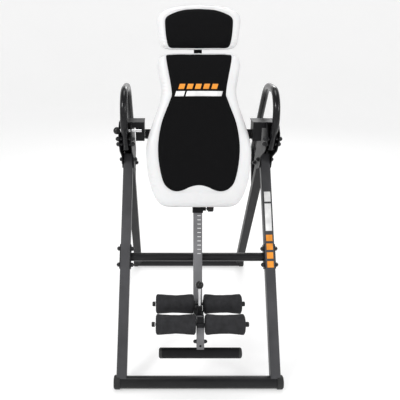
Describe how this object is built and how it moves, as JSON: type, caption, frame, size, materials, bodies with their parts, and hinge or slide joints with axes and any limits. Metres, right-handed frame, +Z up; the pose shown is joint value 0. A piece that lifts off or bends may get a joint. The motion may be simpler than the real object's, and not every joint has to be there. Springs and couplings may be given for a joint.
{
  "type": "inversion table",
  "caption": "Folding A-frame with loop handles carrying a tilting padded bed, sliding boom, foam ankle rollers and foot bar.",
  "frame": {"origin": "on the floor, in the middle of the box that the whole object covers at rest", "axes": "+Z up, -Y the way the user faces (the front), +X to the right seen from the front"},
  "size_m": [0.67, 1.2516, 1.4464],
  "materials": {
    "black_tube": "satin powder coat",
    "black_plastic": "moulded",
    "dark_leg": "satin powder coat",
    "grey_leg": "satin powder coat",
    "black_bracket": "textured powder coat",
    "gloss_handle": "gloss coat",
    "bush_nylon": "natural nylon",
    "black_bolt": "black oxide",
    "bright_steel": "bright plated",
    "board": "plywood",
    "white_vinyl": "grained vinyl",
    "black_fabric": "woven",
    "gloss_knob": "polished",
    "grey_boom": "satin powder coat",
    "white_mark": "printed",
    "foam": "closed-cell foam"
  },
  "bodies": {
    "rear_frame": {"rear_base_tube": "black_tube", "rear_end_caps": "black_plastic", "rear_leg_left": "dark_leg", "rear_leg_right": "dark_leg", "upper_bracket_left": "black_bracket", "upper_bracket_right": "black_bracket", "pivot_bracket_left": "black_bracket", "pivot_bracket_right": "black_bracket", "pivot_bushes": "bush_nylon", "handle_left": "gloss_handle", "handle_right": "gloss_handle", "handle_bolts": "black_bolt", "leg_bolts": "black_bolt"},
    "front_frame": {"front_base_tube": "black_tube", "front_end_caps": "black_plastic", "front_leg_left": "grey_leg", "front_leg_right": "grey_leg", "crossbar": "black_tube", "crossbar_brackets": "black_bracket", "crossbar_bolts": "black_bolt"},
    "bed": {"main_tube": "black_bracket", "cross_arms": "black_bracket", "pivot_pins": "bright_steel", "headrest_guide": "black_plastic", "backrest_board": "board", "backrest_cushion": "white_vinyl", "backrest_panel": "black_fabric"},
    "headrest": {"neck_bar": "black_bracket", "headrest_board": "board", "headrest_cushion": "white_vinyl", "headrest_panel": "black_fabric"},
    "selector": {"selector_pin": "bright_steel", "selector_knob": "gloss_knob"},
    "boom": {"boom_tube": "grey_boom", "height_marks": "white_mark", "ankle_sleeve": "black_bracket", "rear_axle": "black_bolt", "rear_axle_caps": "black_plastic", "ankle_pin_spring": "bright_steel"},
    "ankle_lock": {"ankle_pin": "bright_steel", "ankle_pin_knob": "gloss_knob"},
    "ankle_carriage": {"slide_tube": "grey_boom", "front_post": "grey_boom", "front_clamp": "black_bracket", "front_axle": "black_bolt", "front_axle_caps": "black_plastic", "foot_bar": "black_bracket", "foot_bar_caps": "black_plastic", "foot_bolt": "black_bolt"},
    "angle_lock": {"angle_pin": "bright_steel", "angle_pin_knob": "gloss_knob"},
    "roller_rear_left": {"roller_foam_rear_left": "foam", "roller_core_rear_left": "black_plastic"},
    "roller_rear_right": {"roller_foam_rear_right": "foam", "roller_core_rear_right": "black_plastic"},
    "roller_front_left": {"roller_foam_front_left": "foam", "roller_core_front_left": "black_plastic"},
    "roller_front_right": {"roller_foam_front_right": "foam", "roller_core_front_right": "black_plastic"}
  },
  "joints": [
    {"name": "frame_fold", "type": "hinge", "parent": "rear_frame", "child": "front_frame", "pos_m": [0, -0.10519, 0.828], "axis": [-1, 0, 0], "range_deg": [-62, 0]},
    {"name": "bed_tilt", "type": "hinge", "parent": "rear_frame", "child": "bed", "pos_m": [0, -0.18789, 0.953], "axis": [-1, 0, 0], "range_deg": [0, 160]},
    {"name": "headrest_height", "type": "slide", "parent": "bed", "child": "headrest", "axis": [0, 0.3156, 0.9489], "range_m": [0, 0.05]},
    {"name": "selector_pull", "type": "slide", "parent": "bed", "child": "selector", "axis": [1, 0, 0], "range_m": [0, 0.012], "stiffness_N_per_m": 600, "springref_m": -0.005},
    {"name": "boom_height", "type": "slide", "parent": "bed", "child": "boom", "axis": [0, -0.3156, -0.9489], "range_m": [-0.136, 0.102]},
    {"name": "ankle_lock_pull", "type": "slide", "parent": "boom", "child": "ankle_lock", "axis": [0, 0.3156, 0.9489], "range_m": [0, 0.012], "stiffness_N_per_m": 600, "springref_m": -0.005, "deforming": ["ankle_pin_spring"]},
    {"name": "ankle_clamp", "type": "slide", "parent": "boom", "child": "ankle_carriage", "axis": [0, -0.9489, 0.3156], "range_m": [-0.02, 0.05]},
    {"name": "angle_pin_slide", "type": "slide", "parent": "rear_frame", "child": "angle_lock", "axis": [-1, 0, 0], "range_m": [0, 0.055]},
    {"name": "roller_rear_left_spin", "type": "hinge", "parent": "boom", "child": "roller_rear_left", "pos_m": [0, -0.44827, 0.32867], "axis": [1, 0, 0], "continuous": true},
    {"name": "roller_rear_right_spin", "type": "hinge", "parent": "boom", "child": "roller_rear_right", "pos_m": [0, -0.44827, 0.32867], "axis": [1, 0, 0], "continuous": true},
    {"name": "roller_front_left_spin", "type": "hinge", "parent": "ankle_carriage", "child": "roller_front_left", "pos_m": [0, -0.57203, 0.31146], "axis": [1, 0, 0], "continuous": true},
    {"name": "roller_front_right_spin", "type": "hinge", "parent": "ankle_carriage", "child": "roller_front_right", "pos_m": [0, -0.57203, 0.31146], "axis": [1, 0, 0], "continuous": true}
  ]
}
